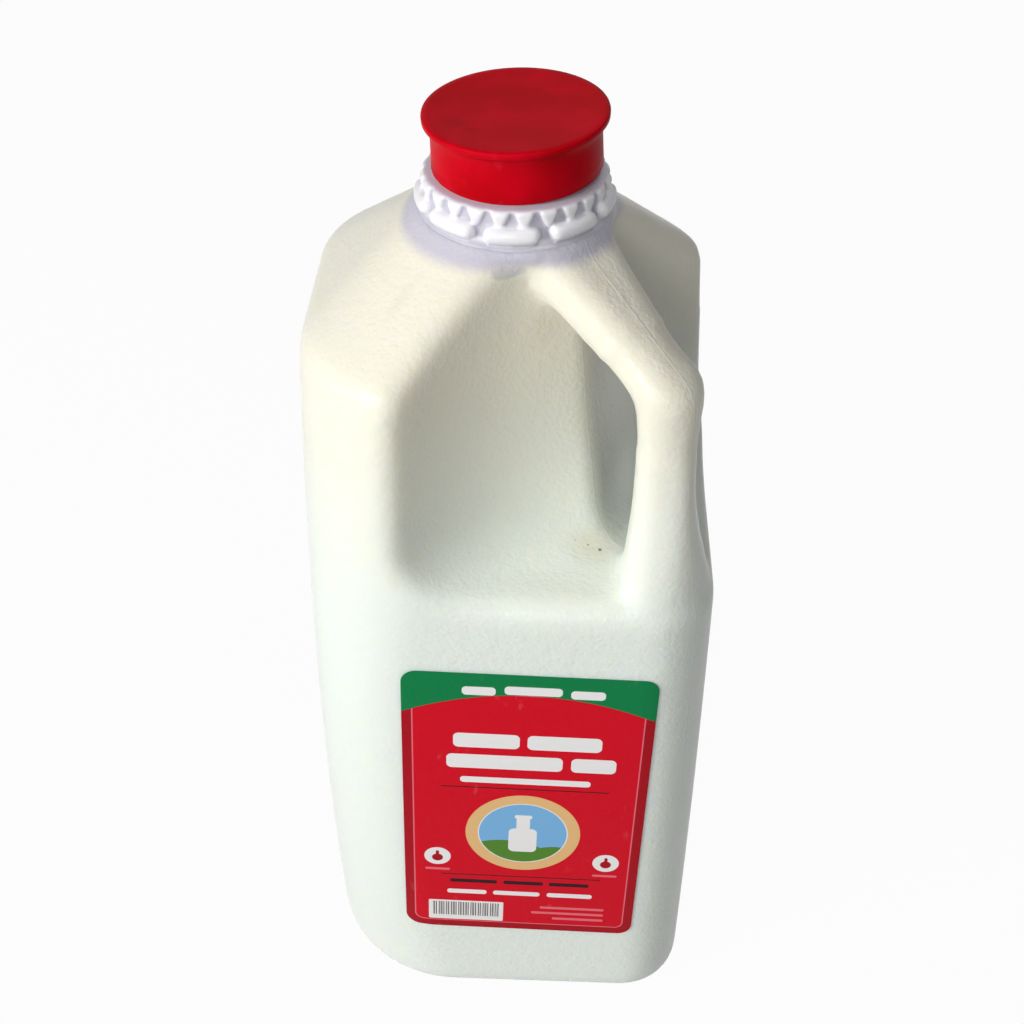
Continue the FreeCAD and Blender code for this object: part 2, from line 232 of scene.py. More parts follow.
# %% The scuffs group
scuffs, given, result = new_group(
    "scuffs",
    [("Place", "Vector", (0, 0, 0)), ("Scale", "Float", 300.0), ("Cover", "Float", 0.5)],
    [("Mask", "Float")],
)
tree = scuffs
one_way = {"Vector": given["Place"], "Rotation": (0, 0, 0.7), "Scale": (1.0, 0.09, 0.4)}
stretched = add_node(tree, "Mapping", one_way)
lines = add_node(tree, "TexNoise", {"Vector": stretched.outputs[0], "Scale": given["Scale"], "Detail": 3.0})
patches = add_node(tree, "TexNoise", {"Vector": given["Place"], "Scale": 90.0, "Detail": 2.0})
edge = calculate(tree, "SUBTRACT", 1.0, given["Cover"])
edge_high = calculate(tree, "ADD", edge, 0.12)
patchy = ramp(tree, patches.outputs[0], edge, edge_high)
streaks = ramp(tree, lines.outputs[0], 0.56, 0.68)
tree.links.new(calculate(tree, "MULTIPLY", patchy, streaks), result["Mask"])
print("shared groups:", [group.name for group in bpy.data.node_groups])

# %% [markdown]
# ## The milky plastic, with milk behind it
# Thin polyethylene over milk looks like one soft white solid, because light goes through the wall,
# scatters in the milk and comes back. Subsurface scattering gives that. The cream floats at the top, so
# the white turns from cool to warm with height. Above the milk the empty neck shows as a grey lilac.
# The mould's parting line stands on the diagonal through the handle: a hair-thin ridge.

# %% Jug plastic
MILK_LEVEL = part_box("milk")[1].z
CREAM_FROM = 140 * MM
CREAM_FULL = 215 * MM
COOL_MILK = (0.83, 0.885, 0.82)
WARM_CREAM = (0.87, 0.845, 0.72)
EMPTY_NECK = (0.60, 0.58, 0.655)
RECESS_GREY = (0.66, 0.65, 0.67)
STAIN_AND_SHADE_BROWN = (0.62, 0.50, 0.30)
SPECK_DARK = (0.10, 0.08, 0.06)

jug_plastic, tree, shader, place = new_material("jug_plastic")
axes = add_node(tree, "SeparateXYZ", {0: place}).outputs
height = axes["Z"]
drift = add_node(tree, "TexNoise", {"Vector": place, "Scale": 22.0, "Detail": 2.0}).outputs[0]
drift_height = calculate(tree, "MULTIPLY", calculate(tree, "SUBTRACT", drift, 0.5), 0.05)
cream = ramp(tree, calculate(tree, "ADD", height, drift_height), CREAM_FROM, CREAM_FULL)
colour = blend_colours(tree, cream, COOL_MILK, WARM_CREAM)

# Brown spots: real stains, and painted shade for a dent and for the depths of the handle hole.
STAINS_AND_PAINTED_SHADE = [
    # centre, turn, reach, softness, strength
    # a real stain on the left shoulder
    ((-23.5, -25.5, 222.0), -0.75, (9.5, 2.6, 8.0), 0.9, 0.13),
    # painted shade of a small dent at the left edge of the front
    ((-26.2, -51.0, 160.0), 0.0, (2.6, 4.0, 4.2), 0.8, 0.10),
    # a real yellowish stain at the bottom of the handle hole
    ((20.0, -27.5, 154.0), 0.0, (10.0, 9.0, 7.0), 1.0, 0.30),
    # painted warm shade at the top of the handle hole
    ((9.0, -21.0, 213.0), 0.0, (7.0, 7.0, 7.0), 1.0, 0.14),
    # painted warm shade by the handle's knuckle
    ((33.0, -30.0, 214.0), 0.0, (14.0, 14.0, 7.0), 1.0, 0.08),
]
for centre, turn, reach, softness, strength in STAINS_AND_PAINTED_SHADE:
    mask = place_group(tree, spot, {
        "Place": place,
        "Centre": Vector(centre) * MM,
        "Turn": turn,
        "Reach": Vector(reach) * MM,
        "Softness": softness,
    })["Mask"]
    colour = blend_colours(tree, calculate(tree, "MULTIPLY", mask, strength), colour, STAIN_AND_SHADE_BROWN)

SPECKS = [
    ((38.0, -43.6, 195.4), 0.42),
    ((22.4, -28.7, 153.4), 0.50),
    ((19.4, -27.8, 154.2), 0.28),
    ((16.2, -27.3, 155.2), 0.22),
    ((-33.6, -12.0, 220.4), 0.22),
    ((24.6, -12.0, 190.0), 0.25),
    ((10.5, -28.0, 228.0), 0.22),
]
for centre, radius in SPECKS:
    reach = Vector((radius, radius, radius)) * MM
    mask = place_group(tree, spot, {
        "Place": place,
        "Centre": Vector(centre) * MM,
        "Reach": reach * 1.2,
        "Softness": 0.6,
    })["Mask"]
    colour = blend_colours(tree, calculate(tree, "MULTIPLY", mask, 0.85), colour, SPECK_DARK)

empty = ramp(tree, height, MILK_LEVEL - 1.5 * MM, MILK_LEVEL + 1.2 * MM)
colour = blend_colours(tree, empty, colour, EMPTY_NECK)
# A darker grey oval at the front, just under the collar, where the real jug has a small recessed mark; the
# recess itself is not modelled.
recess_oval = place_group(tree, spot, {
    "Place": place,
    "Centre": Vector((-0.8, -22.6, 228.4)) * MM,
    "Reach": Vector((4.8, 6.0, 2.0)) * MM,
    "Softness": 0.3,
})["Mask"]
colour = blend_colours(tree, calculate(tree, "MULTIPLY", recess_oval, 0.7), colour, RECESS_GREY)
tree.links.new(colour, shader["Base Color"])

grain = place_group(tree, pebble, {"Place": place, "Size": 1.15 * MM, "Unevenness": 0.6})["Height"]
off_parting = calculate(tree, "ABSOLUTE", calculate(tree, "ADD", axes["X"], axes["Y"]))
seam = calculate(tree, "SUBTRACT", 1.0, ramp(tree, off_parting, 0.15 * MM, 0.6 * MM))
relief = calculate(tree, "ADD", grain, calculate(tree, "MULTIPLY", seam, 0.25))
bump = add_node(tree, "Bump", {"Height": relief, "Distance": 0.30 * MM, "Strength": 0.6})
tree.links.new(bump.outputs[0], shader["Normal"])
sheen = add_node(tree, "MapRange", {"Value": drift, "To Min": 0.26, "To Max": 0.34}).outputs[0]
tree.links.new(sheen, shader["Roughness"])
shader["Subsurface Weight"].default_value = 0.55
shader["Subsurface Radius"].default_value = (1.0, 0.8, 0.55)
shader["Subsurface Scale"].default_value = 0.004
shader["Specular IOR Level"].default_value = 0.18

# %% [markdown]
# ## The jug's body
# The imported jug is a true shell, with a wall and crisp mould lines. The real one is softer. So we copy
# its mesh, keep only the outside, close it where the neck begins and remesh it into small even quads.
# Smoothing those quads rolls every edge over, the way blown plastic does.

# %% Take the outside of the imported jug
NECK_FOOT = 233.8 * MM

skin = bmesh.new()
skin.from_mesh(frame["nodes"]["jug"].data)
bmesh.ops.remove_doubles(skin, verts=skin.verts, dist=0.001 * MM)
everything = skin.verts[:] + skin.edges[:] + skin.faces[:]
bmesh.ops.bisect_plane(
    skin, geom=everything, plane_co=(0, 0, NECK_FOOT), plane_no=(0, 0, 1), clear_outer=True
)

lowest = min(skin.verts, key=lambda vert: vert.co.z)
outside = {lowest}
waiting = [lowest]
while waiting:
    for edge in waiting.pop().link_edges:
        for vert in edge.verts:
            if vert not in outside:
                outside.add(vert)
                waiting.append(vert)
inside = [vert for vert in skin.verts if vert not in outside]
bmesh.ops.delete(skin, geom=inside, context="VERTS")
rim_edges = [edge for edge in skin.edges if edge.is_boundary]
bmesh.ops.holes_fill(skin, edges=rim_edges, sides=0)
print("outside skin:", len(skin.faces), "faces,", len(inside), "points of the inner wall left out")

# %% Soften it
body_mesh = with_modifiers(mesh_from(skin, "jug_body"), [
    ("REMESH", {"mode": "VOXEL", "voxel_size": 1.25 * MM, "use_smooth_shade": True}),
    ("SMOOTH", {"factor": 0.5, "iterations": 14}),
])
print("softened body:", len(body_mesh.polygons), "faces")

# %% Round the knuckle and the elbow of the handle a little more
KNUCKLE = Vector((36, -36, 205)) * MM
ROUNDING = ((22, 6), (17, 20))  # reach from the knuckle in millimetres, passes

rounded = bmesh.new()
rounded.from_mesh(body_mesh)
for reach, passes in ROUNDING:
    near = [vert for vert in rounded.verts if (vert.co - KNUCKLE).length < reach * MM]
    for _ in range(passes):
        bmesh.ops.smooth_vert(
            rounded, verts=near, factor=0.5, use_axis_x=True, use_axis_y=True, use_axis_z=True
        )
rounded.to_mesh(body_mesh)
rounded.free()
print("handle rounded:", len(near), "points")
jug_body = keep_piece("jug_body", body_mesh, jug_plastic)
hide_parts("jug")

# %% [markdown]
# ## The milk
# The milk fills the softened body up to the foot of the neck. We take the same mesh, cut it at the
# milk's level, cap it and draw it in by the wall's thickness.

# %% Milk finish and fill
milk_white, tree, shader, place = new_material("milk_white")
swirl = add_node(tree, "TexNoise", {"Vector": place, "Scale": 30.0, "Detail": 3.0}).outputs[0]
height = add_node(tree, "SeparateXYZ", {0: place}).outputs["Z"]
cream_top = ramp(tree, height, CREAM_FROM, CREAM_FULL)
milk_colour = blend_colours(tree, cream_top, (0.88, 0.90, 0.85), (0.90, 0.87, 0.74))
milk_colour = blend_colours(tree, calculate(tree, "MULTIPLY", swirl, 0.08), milk_colour, (0.95, 0.94, 0.86))
tree.links.new(milk_colour, shader["Base Color"])
milk_gloss = add_node(tree, "MapRange", {"Value": swirl, "To Min": 0.16, "To Max": 0.24}).outputs[0]
tree.links.new(milk_gloss, shader["Roughness"])
shader["Subsurface Weight"].default_value = 0.6
shader["Subsurface Radius"].default_value = (1.0, 0.8, 0.6)
shader["Subsurface Scale"].default_value = 0.004

WALL = 0.55 * MM
milk = bmesh.new()
milk.from_mesh(body_mesh)
everything = milk.verts[:] + milk.edges[:] + milk.faces[:]
bmesh.ops.bisect_plane(
    milk, geom=everything, plane_co=(0, 0, MILK_LEVEL + WALL), plane_no=(0, 0, 1), clear_outer=True
)
bmesh.ops.holes_fill(milk, edges=[edge for edge in milk.edges if edge.is_boundary], sides=0)
milk_mesh = with_modifiers(mesh_from(milk, "milk_fill"), [
    ("DISPLACE", {"strength": -WALL, "mid_level": 0.0}),
])
milk_fill = keep_piece("milk_fill", milk_mesh, milk_white)
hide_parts("milk")

# %% [markdown]
# ## The neck
# The neck is clearer than the body, because there is no milk behind it. It carries a ring of nine long
# rounded lugs, and above them a crown of blunt teeth under a thin rim, which the cap's tamper ring
# once gripped. We spin the wall, make one lug and one tooth, and spin copies of those. A fine remesh
# then melts all of it into one moulded piece with soft roots.

# %% Neck plastic
neck_plastic, tree, shader, place = new_material("neck_plastic")
axes = add_node(tree, "SeparateXYZ", {0: place}).outputs
flat_place = add_node(tree, "CombineXYZ", {"X": axes["X"], "Y": axes["Y"]}).outputs[0]
radius = add_node(tree, "VectorMath", {0: flat_place}, operation="LENGTH").outputs["Value"]
thick = ramp(tree, radius, 20.5 * MM, 21.2 * MM)
thick = calculate(tree, "MULTIPLY", thick, ramp(tree, axes["Z"], 233.4 * MM, 234.4 * MM))
cloud = add_node(tree, "TexNoise", {"Vector": place, "Scale": 120.0, "Detail": 2.0}).outputs[0]
clouding = calculate(tree, "MULTIPLY", calculate(tree, "SUBTRACT", cloud, 0.5), 0.2)
thick = calculate(tree, "ADD", thick, clouding, clamp=True)
neck_colour = blend_colours(tree, thick, (0.57, 0.55, 0.63), (0.86, 0.855, 0.885))
tree.links.new(neck_colour, shader["Base Color"])
grain = place_group(tree, pebble, {"Place": place, "Size": 0.9 * MM, "Unevenness": 0.4})["Height"]
bump = add_node(tree, "Bump", {"Height": grain, "Distance": 0.04 * MM, "Strength": 0.5})
tree.links.new(bump.outputs[0], shader["Normal"])
gloss = add_node(tree, "MapRange", {"Value": cloud, "To Min": 0.26, "To Max": 0.38}).outputs[0]
tree.links.new(gloss, shader["Roughness"])
shader["Subsurface Weight"].default_value = 0.5
shader["Subsurface Radius"].default_value = (0.8, 0.75, 1.0)
shader["Subsurface Scale"].default_value = 0.0025

# %% Wall of the neck
WALL_OUTLINE = [
    # radius, level
    (16.8, 230.6), (21.4, 230.6), (22.6, 231.6), (22.4, 233.0), (21.0, 233.9), (20.4, 234.8),
    (20.4, 239.6), (20.5, 240.9), (20.9, 241.3), (20.7, 241.7), (19.0, 241.9), (17.8, 242.4),
    (17.7, 252.6), (17.3, 253.0), (16.9, 252.6), (16.8, 230.6),
]


def spin_outline(shape, outline, steps):
    """Turn an outline of (radius, level) points about the jug's upright axis."""
    ring = [shape.verts.new((radius * MM, 0, level * MM)) for radius, level in outline]
    edges = [shape.edges.new(pair) for pair in zip(ring[:-1], ring[1:])]
    bmesh.ops.spin(
        shape, geom=ring + edges, cent=(0, 0, 0), axis=(0, 0, 1), angle=2 * math.pi, steps=steps,
        use_merge=True
    )
    bmesh.ops.remove_doubles(shape, verts=shape.verts, dist=0.001 * MM)
    bmesh.ops.recalc_face_normals(shape, faces=shape.faces)


neck = bmesh.new()
spin_outline(neck, WALL_OUTLINE, 128)
print("neck wall:", len(neck.faces), "faces")

# %% Nine lugs
LUG_TOTAL = 9
LUG_RADIUS = 1.9 * MM
LUG_SEAT = Vector((21.3, 0, 235.9)) * MM
LUG_SPAN = math.radians(24.5)

lug = bmesh.new()
section = bmesh.ops.create_circle(lug, cap_ends=True, radius=LUG_RADIUS, segments=16)["verts"]
bmesh.ops.rotate(lug, verts=section, cent=(0, 0, 0), matrix=Matrix.Rotation(math.radians(90), 3, "X"))
bmesh.ops.translate(lug, verts=section, vec=LUG_SEAT)
bmesh.ops.rotate(lug, verts=section, cent=(0, 0, 0), matrix=Matrix.Rotation(-LUG_SPAN / 2, 3, "Z"))
bmesh.ops.spin(lug, geom=lug.faces[:] + lug.edges[:] + lug.verts[:], cent=(0, 0, 0), axis=(0, 0, 1),
               angle=LUG_SPAN, steps=10)
for end in (-0.5, 0.5):
    place_end = Matrix.Rotation(end * LUG_SPAN, 4, "Z") @ Matrix.Translation(LUG_SEAT)
    bmesh.ops.create_uvsphere(lug, u_segments=16, v_segments=10, radius=LUG_RADIUS, matrix=place_end)
bmesh.ops.recalc_face_normals(lug, faces=lug.faces)
bmesh.ops.rotate(lug, verts=lug.verts, cent=(0, 0, 0), matrix=Matrix.Rotation(math.radians(-90), 3, "Z"))
bmesh.ops.spin(lug, geom=lug.faces[:] + lug.edges[:] + lug.verts[:], cent=(0, 0, 0), axis=(0, 0, 1),
               angle=2 * math.pi, steps=LUG_TOTAL, use_duplicate=True)
print("lugs:", LUG_TOTAL, "of", len(lug.faces) // (LUG_TOTAL + 1), "faces")

# %% Crown of teeth
TOOTH_TOTAL = 24
TOOTH_SIZE = Vector((4.3, 2.4, 3.8)) * MM
TOOTH_SEAT = Vector((0, -20.4, 239.3)) * MM

tooth = bmesh.new()
block = bmesh.ops.create_cube(tooth, size=1.0)["verts"]
bmesh.ops.scale(tooth, verts=block, vec=TOOTH_SIZE)
tip = [vert for vert in block if vert.co.z < 0]
bmesh.ops.scale(tooth, verts=tip, vec=(0.30, 0.85, 1.0))
bmesh.ops.bevel(tooth, geom=tooth.edges[:], offset=0.6 * MM, affect="EDGES", segments=3, profile=0.5,
                material=-1, clamp_overlap=True)
bmesh.ops.translate(tooth, verts=tooth.verts, vec=TOOTH_SEAT)
half_pitch = Matrix.Rotation(math.pi / TOOTH_TOTAL, 3, "Z")
bmesh.ops.rotate(tooth, verts=tooth.verts, cent=(0, 0, 0), matrix=half_pitch)
bmesh.ops.spin(tooth, geom=tooth.faces[:] + tooth.edges[:] + tooth.verts[:], cent=(0, 0, 0), axis=(0, 0, 1),
               angle=2 * math.pi, steps=TOOTH_TOTAL, use_duplicate=True)
print("teeth:", TOOTH_TOTAL, "of", len(tooth.faces) // (TOOTH_TOTAL + 1), "faces")

# %% Melt the neck into one piece
for extra, name in ((lug, "lugs"), (tooth, "teeth")):
    extra_mesh = mesh_from(extra, name)
    neck.from_mesh(extra_mesh)
neck_mesh = with_modifiers(mesh_from(neck, "jug_neck"), [
    ("REMESH", {"mode": "VOXEL", "voxel_size": 0.36 * MM, "use_smooth_shade": True}),
    ("SMOOTH", {"factor": 0.5, "iterations": 5}),
])
jug_neck = keep_piece("jug_neck", neck_mesh, neck_plastic)

# %% [markdown]
# ## The cap
# A push-on cap is injection moulded: a straight skirt, a short hollow flare under a thin flange, and a
# flat deck. It was pressed on by hand, so it leans a little. We spin its outline, then tip the whole cap
# about the middle of its deck. The red is evenly dyed and satin, with faint rubbed marks on the deck.

# %% Cap plastic
cap_red, tree, shader, place = new_material("cap_red")
marks = place_group(tree, scuffs, {"Place": place, "Scale": 420.0, "Cover": 0.46})["Mask"]
mottle = add_node(tree, "TexNoise", {"Vector": place, "Scale": 70.0, "Detail": 3.0}).outputs[0]
cap_colour = blend_colours(tree, ramp(tree, mottle, 0.35, 0.7), (0.50, 0.001, 0.006), (0.62, 0.0015, 0.012))
SMUDGES = [
    ((-13.0, -6.0, 255.5), 0.4, (5.0, 3.5, 4.0), 0.35),
    ((-9.0, -9.5, 255.5), 0.2, (3.0, 1.4, 4.0), 0.4),
    ((-1.0, 3.0, 256.0), -0.2, (3.0, 1.0, 4.0), 0.4),
    ((5.0, 6.0, 256.0), 0.1, (3.5, 2.0, 4.0), 0.25),
    ((14.0, 3.0, 256.0), 1.0, (5.0, 1.6, 4.0), 0.3),
]
for centre, turn, reach, strength in SMUDGES:
    mask = place_group(tree, spot, {
        "Place": place,
        "Centre": Vector(centre) * MM,
        "Turn": turn,
        "Reach": Vector(reach) * MM,
        "Softness": 0.7,
    })["Mask"]
    uneven = calculate(tree, "MULTIPLY", mask, ramp(tree, mottle, 0.35, 0.6))
    smudge = calculate(tree, "MULTIPLY", uneven, strength)
    cap_colour = blend_colours(tree, smudge, cap_colour, (0.30, 0.001, 0.004))
cap_colour = blend_colours(tree, calculate(tree, "MULTIPLY", marks, 0.05), cap_colour, (0.80, 0.22, 0.24))
tree.links.new(cap_colour, shader["Base Color"])
satin = add_node(tree, "MapRange", {"Value": marks, "To Min": 0.42, "To Max": 0.62}).outputs[0]
tree.links.new(satin, shader["Roughness"])
grain = place_group(tree, pebble, {"Place": place, "Size": 0.7 * MM, "Unevenness": 0.8})["Height"]
bump = add_node(tree, "Bump", {"Height": grain, "Distance": 0.02 * MM, "Strength": 0.5})
tree.links.new(bump.outputs[0], shader["Normal"])
shader["Specular IOR Level"].default_value = 0.025
shader["Subsurface Weight"].default_value = 0.12
shader["Subsurface Radius"].default_value = (1.0, 0.15, 0.1)
shader["Subsurface Scale"].default_value = 0.0015

# %% Cap shape
CAP_OUTLINE = [
    # radius, level: from the middle of the deck, over the flange, down the skirt and back inside
    (0.0, 255.72), (18.6, 255.72), (19.4, 255.8), (20.55, 255.8), (20.9, 255.65), (21.0, 255.3),
    (20.95, 254.4), (20.6, 254.1), (20.0, 253.55), (19.55, 252.7), (19.35, 251.4), (19.3, 249.8),
    (19.4, 246.0), (19.5, 243.1), (19.3, 242.8), (18.6, 242.8), (18.4, 243.1), (18.4, 253.6),
    (18.0, 254.0), (0.0, 254.0),
]
CAP_SEAT = Vector((0, 0, 254.0)) * MM

cap = bmesh.new()
spin_outline(cap, CAP_OUTLINE, 144)
LEAN_FORWARD = math.radians(2.0)
LEAN_LEFT = math.radians(2.2)
lean = Matrix.Rotation(LEAN_FORWARD, 3, "X") @ Matrix.Rotation(-LEAN_LEFT, 3, "Y")
bmesh.ops.rotate(cap, verts=cap.verts, cent=CAP_SEAT, matrix=lean)
red_cap = keep_piece("red_cap", mesh_from(cap, "red_cap"), cap_red)
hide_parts("cap")

# %% [markdown]
# ## The label
# The label is printed paper with a thin clear coat, and ink has no thickness worth modelling. So the
# packed label keeps its own shape, and the print is worked out in its material. Two groups do it: one
# gives the look of coated paper, and one draws a rounded block, which is a disc when its core is a point.
# Words are only hinted at, with plain bars.

# %% The coated paper group
coated_paper, given, result = new_group(
    "coated_paper",
    [("Place", "Vector", (0, 0, 0)), ("Ink", "Color", (1, 1, 1, 1)), ("Worn", "Color", (1, 1, 1, 1))],
    [("Color", "Color"), ("Roughness", "Float"), ("Height", "Float")],
)
tree = coated_paper
fibres = add_node(tree, "TexNoise", {"Vector": given["Place"], "Scale": 900.0, "Detail": 2.0}).outputs[0]
waves = add_node(tree, "TexNoise", {"Vector": given["Place"], "Scale": 60.0, "Detail": 1.0}).outputs[0]
rubbed = place_group(tree, scuffs, {"Place": given["Place"], "Scale": 500.0, "Cover": 0.42})["Mask"]
shade = blend_colours(tree, calculate(tree, "MULTIPLY", fibres, 0.01), given["Ink"], given["Worn"])
shade = blend_colours(tree, calculate(tree, "MULTIPLY", rubbed, 0.04), shade, given["Worn"])
tree.links.new(shade, result["Color"])
gloss = add_node(tree, "MapRange", {"Value": waves, "To Min": 0.30, "To Max": 0.42}).outputs[0]
tree.links.new(gloss, result["Roughness"])
tree.links.new(calculate(tree, "ADD", waves, calculate(tree, "MULTIPLY", fibres, 0.05)), result["Height"])

# %% The printed block group
printed_block, given, result = new_group(
    "printed_block",
    [("Flat", "Vector", (0, 0, 0)), ("Centre", "Vector", (0, 0, 0)), ("Core", "Vector", (0, 0, 0)),
     ("Corner", "Float", 1.0)],
    [("Mask", "Float")],
)
tree = printed_block
moved = add_node(tree, "VectorMath", {0: given["Flat"], 1: given["Centre"]}, operation="SUBTRACT").outputs[0]
folded = add_node(tree, "VectorMath", {0: moved}, operation="ABSOLUTE").outputs[0]
beyond = add_node(tree, "VectorMath", {0: folded, 1: given["Core"]}, operation="SUBTRACT").outputs[0]
outer = add_node(tree, "VectorMath", {0: beyond, 1: (0, 0, 0)}, operation="MAXIMUM").outputs[0]
reach = add_node(tree, "VectorMath", {0: outer}, operation="LENGTH").outputs["Value"]
edge = calculate(tree, "SUBTRACT", reach, given["Corner"])
tree.links.new(calculate(tree, "SUBTRACT", 1.0, ramp(tree, edge, -0.05, 0.05)), result["Mask"])


def blocks(tree, flat, shapes):
    """One mask for several blocks: middle across and up, width, height and corner radius, in millimetres."""
    whole = 0.0
    for across, up, width, height, corner in shapes:
        mask = place_group(tree, printed_block, {
            "Flat": flat,
            "Centre": (across, up, 0),
            "Core": (width / 2 - corner, height / 2 - corner, 1),
            "Corner": corner,
        })["Mask"]
        whole = calculate(tree, "MAXIMUM", mask, whole)
    return whole


def disc(across, up, radius):
    return (across, up, 2 * radius, 2 * radius, radius)


# %% [markdown]
# ### The print, from the bottom ink to the top one
# A deep red border first, with a thin pink line round the red field inside it, and a green band along
# the top whose lower edge is part of one very large disc. Bars for words come under it, then a round
# picture of a bottle on a hill between two badges with a drop, thin rules, and a white box of stripes.

# %% Inks and the label's own axes
label_low, label_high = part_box("label")
LABEL_MIDDLE = (label_low + label_high) / 2
LABEL_TURN = math.radians(1.3)
PAPER_RED = (0.66, 0.002, 0.016)
DEEP_RED = (0.40, 0.003, 0.012)
PINK = (0.80, 0.16, 0.20)
GREEN = (0.002, 0.205, 0.060)
WHITE = (0.86, 0.85, 0.84)
BLACK = (0.030, 0.006, 0.008)
TAN = (0.80, 0.50, 0.22)
SKY = (0.20, 0.46, 0.76)
MEADOW = (0.09, 0.24, 0.03)

label_paper, tree, shader, place = new_material("label_paper")
moved = add_node(tree, "VectorMath", {0: place, 1: LABEL_MIDDLE}, operation="SUBTRACT").outputs[0]
level = add_node(tree, "VectorRotate", {"Vector": moved, "Axis": (0, 1, 0), "Angle": -LABEL_TURN}).outputs[0]
axes = add_node(tree, "SeparateXYZ", {0: level}).outputs
across = calculate(tree, "DIVIDE", axes["X"], MM)
up = calculate(tree, "DIVIDE", axes["Z"], MM)
flat = add_node(tree, "CombineXYZ", {"X": across, "Y": up}).outputs[0]


def overlap(first, second):
    """Only what lies in both masks."""
    return calculate(tree, "MINIMUM", first, second)


def outside_of(mask):
    return calculate(tree, "SUBTRACT", 1.0, mask)


print("label axes: millimetres from the middle of the label", tuple(LABEL_MIDDLE))

# %% Border, field and band
field = blocks(tree, flat, [(0, -2.0, 59.0, 92.4, 2.4)])
field_line = blocks(tree, flat, [(0, -2.0, 58.3, 91.7, 2.1)])
print_colour = blend_colours(tree, field, DEEP_RED, PINK)
print_colour = blend_colours(tree, field_line, print_colour, PAPER_RED)
under_arch = blocks(tree, flat, [disc(0, -28.9, 72.9)])
top_band = overlap(ramp(tree, up, 30.0, 30.1), outside_of(under_arch))
print_colour = blend_colours(tree, top_band, print_colour, GREEN)

# %% The round picture
PICTURE_UP = -8.5
picture = blocks(tree, flat, [disc(0, PICTURE_UP, 11.8)])
print_colour = blend_colours(tree, blocks(tree, flat, [disc(0, PICTURE_UP, 15.4)]), print_colour, TAN)
print_colour = blend_colours(tree, blocks(tree, flat, [disc(0, PICTURE_UP, 12.1)]), print_colour, WHITE)
print_colour = blend_colours(tree, picture, print_colour, SKY)
hill = blocks(tree, flat, [disc(-5, PICTURE_UP - 23, 20), disc(9, PICTURE_UP - 18, 13)])
print_colour = blend_colours(tree, overlap(hill, picture), print_colour, MEADOW)
bottle = blocks(tree, flat, [
    (0, PICTURE_UP - 2.8, 7.6, 9.6, 1.6),
    (0, PICTURE_UP + 3.6, 3.6, 6.0, 0.8),
    (0, PICTURE_UP + 6.8, 4.6, 1.4, 0.5),
])
print_colour = blend_colours(tree, bottle, print_colour, WHITE)

# %% Badges, words, rules and stripes
badge = blocks(tree, flat, [disc(-23, -19.5, 3.6), disc(23, -19.5, 3.6)])
drops = blocks(tree, flat, [
    disc(-23, -20.1, 1.5), disc(23, -20.1, 1.5),
    (-23, -18.5, 0.9, 2.6, 0.44), (23, -18.5, 0.9, 2.6, 0.44),
])
words = blocks(tree, flat, [
    (-12.6, 45.0, 8.4, 2.9, 1.1), (1.0, 45.6, 14.4, 2.9, 1.1), (14.6, 45.0, 8.6, 2.9, 1.1),
    (-10.4, 27.2, 17.0, 5.2, 1.5), (9.6, 27.2, 19.0, 5.2, 1.5),
    (-5.6, 19.4, 30.0, 5.2, 1.5), (17.4, 19.4, 11.6, 5.2, 1.5),
    (0.0, 12.4, 34.0, 2.2, 0.9),
    (-14.8, -34.6, 11.0, 1.8, 0.8), (-1.0, -34.6, 13.0, 1.8, 0.8), (13.8, -34.6, 12.6, 1.8, 0.8),
])
white_box = blocks(tree, flat, [(-15.0, -43.2, 21.0, 8.6, 0.4)])
small_words = blocks(tree, flat, [
    (14.8, -40.4, 18.0, 1.0, 0.4), (13.6, -42.8, 20.4, 1.0, 0.4), (16.6, -45.2, 14.4, 1.0, 0.4),
    (-23.0, -25.0, 6.8, 0.9, 0.4), (23.0, -25.0, 6.8, 0.9, 0.4),
])
black_print = blocks(tree, flat, [
    (0.0, 9.4, 44.0, 0.36, 0.1), (0.0, -27.0, 44.0, 0.36, 0.1),
    (-13.0, -29.8, 13.0, 1.5, 0.5), (0.8, -29.8, 11.0, 1.5, 0.5), (13.4, -29.8, 11.0, 1.5, 0.5),
])
bar_waves = calculate(tree, "ADD", calculate(tree, "SINE", calculate(tree, "MULTIPLY", across, 9.1)),
                      calculate(tree, "SINE", calculate(tree, "MULTIPLY", across, 14.7)))
stripe_area = blocks(tree, flat, [(-15.0, -42.6, 18.6, 6.0, 0.1)])
stripes = overlap(ramp(tree, bar_waves, 0.0, 0.25), stripe_area)
for mask, colour in (
    (calculate(tree, "MAXIMUM", badge, calculate(tree, "MAXIMUM", words, white_box)), WHITE),
    (drops, DEEP_RED), (small_words, PINK), (calculate(tree, "MAXIMUM", black_print, stripes), BLACK),
):
    print_colour = blend_colours(tree, mask, print_colour, colour)

# %% Put the print on the coated paper
made = place_group(tree, coated_paper, {
    "Place": place,
    "Ink": print_colour,
    "Worn": (0.9, 0.82, 0.80, 1),
})
tree.links.new(made["Color"], shader["Base Color"])
tree.links.new(made["Roughness"], shader["Roughness"])
bump = add_node(tree, "Bump", {"Height": made["Height"], "Distance": 0.10 * MM, "Strength": 0.3})
tree.links.new(bump.outputs[0], shader["Normal"])
shader["Specular IOR Level"].default_value = 0.05
for slot in frame["nodes"]["label"].material_slots:
    slot.material = label_paper
print("label material:", len(tree.nodes), "nodes")

# %% [markdown]
# ## Studio
# A soft key lamp stands in front, to the left and above, like a window. A weaker one fills the front
# and a third one the slopes from above, and the room is dim, so the right side falls into shade. The
# floor and the world are pale to the lens, and in what gloss and clear things show, but light little.

# %% Floor and backdrop
def seen_directly(tree):
    """1 for rays from the lens or off a gloss or clear surface, and 0 for light falling on things."""
    path = add_node(tree, "LightPath").outputs
    mirrored = calculate(tree, "MAXIMUM", path["Is Glossy Ray"], path["Is Transmission Ray"])
    return calculate(tree, "MAXIMUM", path["Is Camera Ray"], mirrored)


